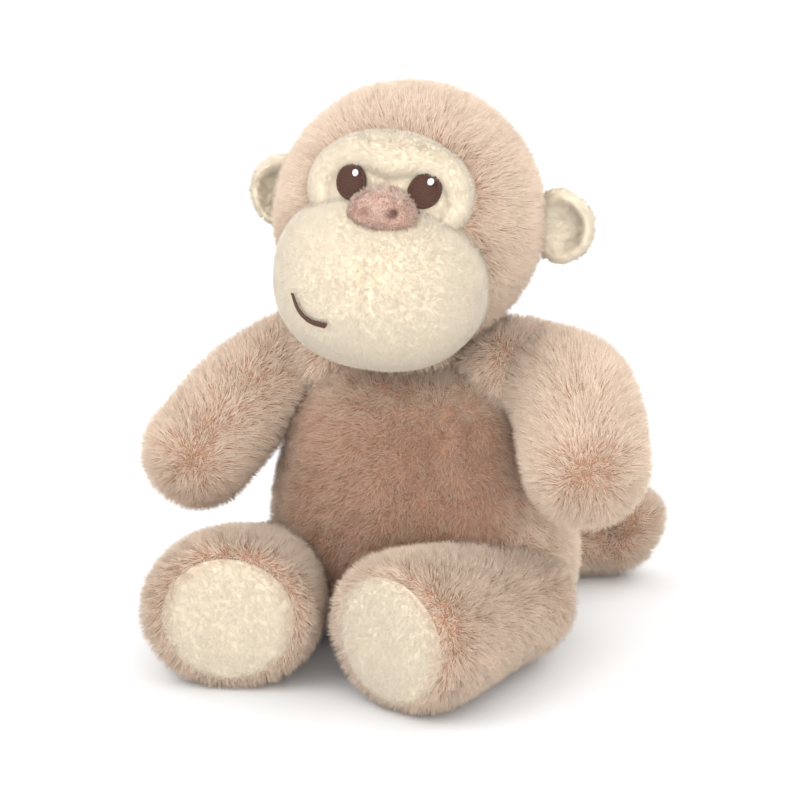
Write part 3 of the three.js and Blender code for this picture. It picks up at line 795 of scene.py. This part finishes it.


# the belly pile carries painted shade on its front, through deep
put_pile("belly_pile_left", skin, BELLY_PILE, torso_comb, torso_part(True, True), COAT, "torso", 11,
         ("torso_front_panel",), painted_belly_shade)
put_pile("belly_pile_right", skin, BELLY_PILE, torso_comb, torso_part(True, False), COAT, "torso", 12,
         (), painted_belly_shade)
put_pile("back_pile_left", skin, LONG_PILE, torso_comb, torso_part(False, True), COAT, "torso", 13,
         ("torso_back_left",))
put_pile("back_pile_right", skin, LONG_PILE, torso_comb, torso_part(False, False), COAT, "torso", 14,
         ("torso_back_right",))

put_skin("head_skin", head_skin, COAT_BACK, "head", ("head_stuffing",))


def head_part(low_x, high_x):
    def keep(points, normals):
        x = into_head(points)[:, 0]
        return (x >= low_x) & (x < high_x) & ~in_face(points, -2.6)
    return keep


for name, low_x, high_x, seed, node in (
    ("head_pile_right", -99, -10, 21, "head_right_panel"),
    ("head_pile_middle", -10, 10, 22, "head_gusset"),
    ("head_pile_left", 10, 99, 23, "head_left_panel"),
):
    put_pile(name, head_skin, LONG_PILE, head_comb, head_part(low_x, high_x), COAT, "head", seed,
             (node,))

neck_low, neck_high = span("neck_seam")
neck = globe((neck_low + neck_high) / 2, [15, 15, 7], rings=16, around=40)
put_skin("neck_roll", neck, COAT_BACK, "neck", ())
put_pile("neck_pile", neck, LONG_PILE, torso_comb,
         lambda p, n: np.abs(n[:, 2]) < 0.9, COAT, "neck", 31, ("neck_seam",))


TORSO_CORE = ([0, 0, 45], [46, 36, 44])  # middle and radii of what the torso hides of the arms
HIP_CORE = ([0, 0, 40], [44, 33, 40])  # and of the legs


def arm_keep(points, normals):
    return ~in_globe(points, *TORSO_CORE) & ~in_globe(points, head_centre, head_radii * 0.95)


for side, seed in (("left", 40), ("right", 50)):
    arm, leg = arms[side], legs[side]
    put_skin(f"{side}_arm_skin", arm[0], COAT_BACK, f"{side}_arm", (f"{side}_arm_stuffing",))
    put_pile(f"{side}_arm_pile", arm[0], LIMB_PILE, limb_comb(arm, 0.1, -0.7), arm_keep, COAT,
             f"{side}_arm", seed, (f"{side}_arm_front", f"{side}_arm_back"))
    sign = 1 if side == "left" else -1
    knob = globe(pivot(f"{side}_arm_swing") - [10 * sign, 0, -1.5], [19, 14, 14], rings=20, around=40)
    put_skin(f"{side}_shoulder_knob", knob, COAT_BACK, f"{side}_shoulder", (f"{side}_shoulder_seam",))
    put_pile(f"{side}_shoulder_pile", knob, LONG_PILE, torso_comb,
             lambda p, n: ~in_limb(p, arm, 1.0), COAT, f"{side}_shoulder", seed + 1)

    put_skin(f"{side}_leg_skin", leg[0], COAT_BACK, f"{side}_leg", (f"{side}_leg_stuffing",))
    sole_at, face = leg[3], leg[4]

    def leg_keep(points, normals, sole_at=sole_at, face=face):
        ahead = (points - sole_at) @ face
        off = points - sole_at - ahead[:, None] * face
        on_sole = (np.linalg.norm(off, axis=1) < SOLE_RADIUS - 1.5) & (ahead > -2.5)
        hidden = in_globe(points, *HIP_CORE)
        return ~on_sole & ~hidden & above_floor(points, normals)

    def leg_comb(points, normals, sole_at=sole_at, face=face):
        ahead = ((points - sole_at) @ face)[:, None]
        off = points - sole_at - ahead * face
        inward = smooth(ahead, -9, 0)
        return face * (1 - inward) + [0, 0, -0.35] + (face * 0.6 - 0.2 * unit(off)) * inward

    put_pile(f"{side}_leg_pile", leg[0], LIMB_PILE, leg_comb, leg_keep, COAT, f"{side}_leg", seed + 2,
             (f"{side}_leg_top", f"{side}_leg_underside"))

    cross = np.array([-face[1], face[0], 0])
    sole_axes = np.stack([cross, -face, [0, 0, 1]], 1)
    pad = globe(sole_at + face * 0.2, [SOLE_RADIUS + 0.8, 2.6, SOLE_RADIUS - 0.2], sole_axes,
                rings=24, around=48)
    put_skin(f"{side}_sole_pad", pad, CREAM_BACK, f"{side}_leg", (f"{side}_foot_sole",))
    put_pile(f"{side}_sole_pile", pad, SHORT_PILE, lambda p, n: np.tile([0.3, 0, -1.0], (len(p), 1)),
             lambda p, n, face=face: n @ face > 0.02, CREAM, f"{side}_leg", seed + 3)

put_skin("tail_skin", tail[0], COAT_BACK, "tail", ("tail_stuffing",))
put_pile("tail_pile", tail[0], LONG_PILE, limb_comb(tail, 0.1), above_floor, COAT, "tail", 61,
         ("tail_outer", "tail_inner"))


# ---------------------------------------------------------------- face

mask = plate(mask_front, MASK_AT, MASK_HALF, 2.0, rings=40, around=96)
put_skin("brow_pad", mask, CREAM_BACK, "head", ())


def front_only(points, normals):
    """Whether the surface faces forward or sideways at each point, and not to the back."""
    return normals @ head_axes[:, 1] < 0.4


def brow_comb(points, normals):
    """Down, and a little outward from the middle."""
    local = into_head(points)
    down = np.stack([local[:, 0] * 0.03, 0 * local[:, 0], 0 * local[:, 0] - 1], -1)
    return down @ head_axes.T


put_pile("brow_pile", mask, SHORT_PILE, brow_comb,
         lambda p, n: front_only(p, n) & ~in_globe(into_head(p), MUZZLE_AT, MUZZLE_HALF * 0.97),
         CREAM, "head", 71, ("face_mask",))

muzzle = plate(muzzle_front, (MUZZLE_AT[0], MUZZLE_AT[2]), (MUZZLE_HALF[0], MUZZLE_HALF[2]), 14.0,
               rings=48, around=112, power=2.25)
put_skin("muzzle_pad", muzzle, CREAM_BACK, "head", ("muzzle_stuffing",))


def muzzle_comb(points, normals):
    """Away from the middle of the muzzle and down."""
    local = into_head(points) - MUZZLE_AT
    local[:, 1] = 0
    return (unit(local) * 0.7 + [0, 0, -0.5]) @ head_axes.T


put_pile("muzzle_pile_left", muzzle, SHORT_PILE, muzzle_comb,
         lambda p, n: (into_head(p)[:, 0] > MUZZLE_AT[0]) & front_only(p, n),
         CREAM, "head", 72, ("muzzle_left_panel",))
put_pile("muzzle_pile_right", muzzle, SHORT_PILE, muzzle_comb,
         lambda p, n: (into_head(p)[:, 0] <= MUZZLE_AT[0]) & front_only(p, n),
         CREAM, "head", 73, ("muzzle_right_panel",))

nose = plate(nose_front, (NOSE_AT[0], NOSE_AT[2]), (NOSE_HALF[0], NOSE_HALF[1]), 5.0, rings=36, around=64,
             power=2.3, taper=NOSE_TAPER)
put_skin("nose_pad", nose, ROSE_BACK, "head", ())


def painted_nose_shade(points, normals):
    """Painted shade: dark in the nostril dimples, deeper below than along the top edge."""
    x, _, z = into_head(points).T
    low = 1 - smooth(z - NOSE_AT[2], -1.0, 4.5)
    return np.clip(0.9 * nostrils(x, z) * 1.4 + 0.35 * low, 0, 1)


# the nose pile carries painted shade in the nostrils and under the nose, through deep
put_pile("nose_pile", nose, NOSE_PILE, lambda p, n: into_head(p) @ head_axes.T + [0, 0, 0.3],
         front_only, ROSE, "head", 74, ("nose",), painted_nose_shade)


def on_surface(surface, x, z, lift):
    """Points over a face surface, lifted off it, in the frame's axes."""
    return out_of_head(surface(x, z) + outward(surface, x, z) * np.asarray(lift)[..., None])


def satin_disc(name, surface, x, z, radius, thread, lift, material, body, nodes, tilt):
    """A disc filled with side by side threads, with short threads laid round its edge."""
    rows = np.arange(-radius + thread / 2, radius, thread * 0.86)
    reach = np.sqrt(np.maximum(radius**2 - rows**2, 0.05))
    t = np.linspace(-1, 1, 13)
    u, w = reach[:, None] * t, rows[:, None] + 0 * t
    c, s = math.cos(tilt), math.sin(tilt)
    dome = lift + 0.5 * (1 - (u**2 + w**2) / radius**2)
    fill = on_surface(surface, x + u * c - w * s, z + u * s + w * c, dome)
    put_threads(name, fill, thread * 0.62, material, body, nodes)
    count = int(2 * math.pi * radius / (thread * 0.75))
    turn = np.linspace(0, 2 * math.pi, count, endpoint=False)[:, None]
    out = np.linspace(radius - thread * 2.2, radius + thread * 0.4, 7)[None, :]
    high = lift + 0.35 * np.sin(np.linspace(0.2, math.pi, 7))[None, :] + 0 * turn
    ring = on_surface(surface, x + out * np.cos(turn), z + out * np.sin(turn), high)
    put_threads(name + "_edge", ring, thread * 0.5, material, body)


def flat_front(x, z):
    """The mask without its brow roll: what the eyes are stitched to."""
    base = head_front(x, z)
    away = unit(base / (head_radii - SKIN_DEPTH) ** 2)
    return base + away * 1.5


for side, x in (("left", EYE_X), ("right", -EYE_X)):
    satin_disc(f"{side}_eye_stitches", flat_front, x, EYE_Z, EYE_RADIUS, 0.42, 1.5, BROWN_THREAD, "head",
               (f"{side}_eye",), 0.35)
    satin_disc(f"{side}_catchlight_stitches", flat_front, x + 1.1, EYE_Z + 2.3, 0.72, 0.36, 2.3, WHITE_THREAD,
               "head", (f"{side}_eye_glint",), 0.9)

SMILE = [[-21.8, -14.5], [-19.6, -18.6], [-16, -21.0], [-11, -21.3]]
smile = through(SMILE, 60)
smile_way = unit(np.gradient(smile, axis=0))
smile_across = np.stack([-smile_way[:, 1], smile_way[:, 0]], -1) + 0.5 * smile_way
smile_half = np.linspace(0.35, 0.85, 60)
t = np.linspace(-1, 1, 7)
smile_x = smile[:, :1] + smile_across[:, :1] * smile_half[:, None] * t
smile_z = smile[:, 1:] + smile_across[:, 1:] * smile_half[:, None] * t
smile_lift = 1.5 + 0.35 * (1 - t**2)[None, :] + 0 * smile_x
smile_threads = on_surface(muzzle_front, smile_x, smile_z, smile_lift)
put_threads("smile_stitches", smile_threads, 0.26, BROWN_THREAD, "head", ("smile_stitch",))


# ---------------------------------------------------------------- ears

EAR_SHIFT = {"left": [0, 0, 0], "right": [2.2, 0, 0]}
for side, sign in (("left", 1), ("right", -1)):
    ear_low, ear_high = span(f"{side}_ear_front", f"{side}_ear_back")
    centre = into_head((ear_low + ear_high) / 2) + EAR_SHIFT[side]

    def ear_point(turn, share, front):
        """A cupped oval, thick at its rim, its inner edge on the head."""
        wide, tall = 9.4, 11.6
        x = centre[0] + sign * wide * share * np.cos(turn)
        z = centre[2] + tall * share * np.sin(turn) * (1 - 0.12 * np.cos(turn) * share)
        outer = smooth(np.cos(turn) * share, -0.9, 0.2)
        fold = 2.6 * np.exp(-((share - 0.8) / 0.2) ** 2) * outer
        top = 2.2 * np.clip(np.sin(turn) * share, 0, 1) ** 1.5
        hollow = 1.6 * (1 - share**2) ** 2
        body = 1.5 * np.sqrt(np.maximum(1 - share**4, 0))
        y = centre[1] - top + (hollow - fold - body if front else body - 0.8 * fold)
        return np.stack([x, y + 0 * x, z], -1)

    turn = np.linspace(0, 2 * math.pi, 56, endpoint=False)[None, :]
    share = np.sin(np.linspace(0, math.pi / 2, 20))[:, None]
    rings = np.concatenate([ear_point(turn, share, True), ear_point(turn, share[::-1][1:], False)])
    ear = Skin(out_of_head(rings))
    put_skin(f"{side}_ear_cup", ear, CREAM_BACK, f"{side}_ear", (f"{side}_ear_back",))
    put_pile(f"{side}_ear_pile", ear, EAR_PILE,
             lambda p, n: np.tile([0, 0, -0.3], (len(p), 1)) + unit(p - head_centre),
             lambda p, n: ~in_globe(p, head_centre, head_radii - 1.0), CREAM, f"{side}_ear",
             81 + sign, (f"{side}_ear_front",))


# ---------------------------------------------------------------- seams

seam_low, seam_high = span("closing_seam")
seam_z = np.linspace(seam_low[2], seam_high[2], 15)
back_y = np.interp(seam_z, [seam_low[2], (seam_low[2] + seam_high[2]) / 2, seam_high[2]],
                   [seam_high[1], seam_high[1] - 3.6, seam_low[1] + 2])
lines = np.stack([
    np.linspace(-1.6, 1.6, 7)[None, :] + 0 * seam_z[:, None],
    back_y[:, None] - 1.2 + 0.3 * (1 - np.linspace(-1, 1, 7)[None, :] ** 2),
    seam_z[:, None] + np.linspace(-0.5, 0.5, 7)[None, :],
], -1)
put_threads("closing_stitches", lines, 0.25, SEAM_THREAD, "torso", ("closing_seam",))

patch_low, patch_high = span("seat_panel")
patch = globe((patch_low + patch_high) / 2 + [0, 0, 0.1], (patch_high - patch_low) / 2 - [0, 0, 0.1],
              rings=12, around=48)
put_skin("seat_patch", patch, COAT_BACK, "torso", ("seat_panel",))


# ---------------------------------------------------------------- stage, light and camera


def area_light(name, place, target, size, power):
    """A round soft lamp at a place, turned to a target, both in metres."""
    data = bpy.data.lights.new(name, "AREA")
    data.shape, data.size, data.energy = "DISK", size, power
    lamp = bpy.data.objects.new(name, data)
    bpy.context.scene.collection.objects.link(lamp)
    lamp.location = place
    lamp.rotation_mode = "QUATERNION"
    lamp.rotation_quaternion = (Vector(target) - Vector(place)).to_track_quat("-Z", "Y")


FLOOR_HALF = 9000
floor_corners = FLOOR_HALF * np.array([[-1, -1, 0], [1, -1, 0], [1, 1, 0], [-1, 1, 0.0]])
floor = put_mesh("studio_floor", floor_corners, np.zeros((0, 3), int), np.array([[0, 1, 2, 3]]))
floor_material, _ = principled("white_studio_floor", 0.9, 0.0)
floor_material.node_tree.nodes["Principled BSDF"].inputs["Base Color"].default_value = (0.7, 0.7, 0.7, 1)
floor.data.materials.append(floor_material)

scene = bpy.context.scene
world = bpy.data.worlds.new("studio_world")
world.use_nodes = True
world.node_tree.nodes["Background"].inputs["Color"].default_value = (1, 1, 1, 1)
world.node_tree.nodes["Background"].inputs["Strength"].default_value = 1.6
scene.world = world
area_light("key_light", (-0.55, -0.75, 0.95), (0, 0, 0.09), 0.9, 4.2)
area_light("fill_light", (0.5, -0.95, 0.22), (0, 0, 0.05), 0.8, 4.5)
area_light("back_light", (0.5, 0.8, 0.7), (0, 0, 0.09), 0.7, 3.0)

AZIMUTH, ELEVATION, DISTANCE = math.radians(22), math.radians(17), 1.0
look_at = np.array([-4.5, -8.0, 75.6]) * MM
back = np.array([
    math.sin(AZIMUTH) * math.cos(ELEVATION), -math.cos(AZIMUTH) * math.cos(ELEVATION), math.sin(ELEVATION),
])
camera_data = bpy.data.cameras.new("studio_camera")
camera_data.lens = 147.5
camera_data.clip_end = 50
camera = bpy.data.objects.new("studio_camera", camera_data)
scene.collection.objects.link(camera)
camera.location = look_at + back * DISTANCE
camera.rotation_mode = "QUATERNION"
camera.rotation_quaternion = (-Vector(back)).to_track_quat("-Z", "Y")
scene.camera = camera
scene.view_settings.view_transform = "Standard"
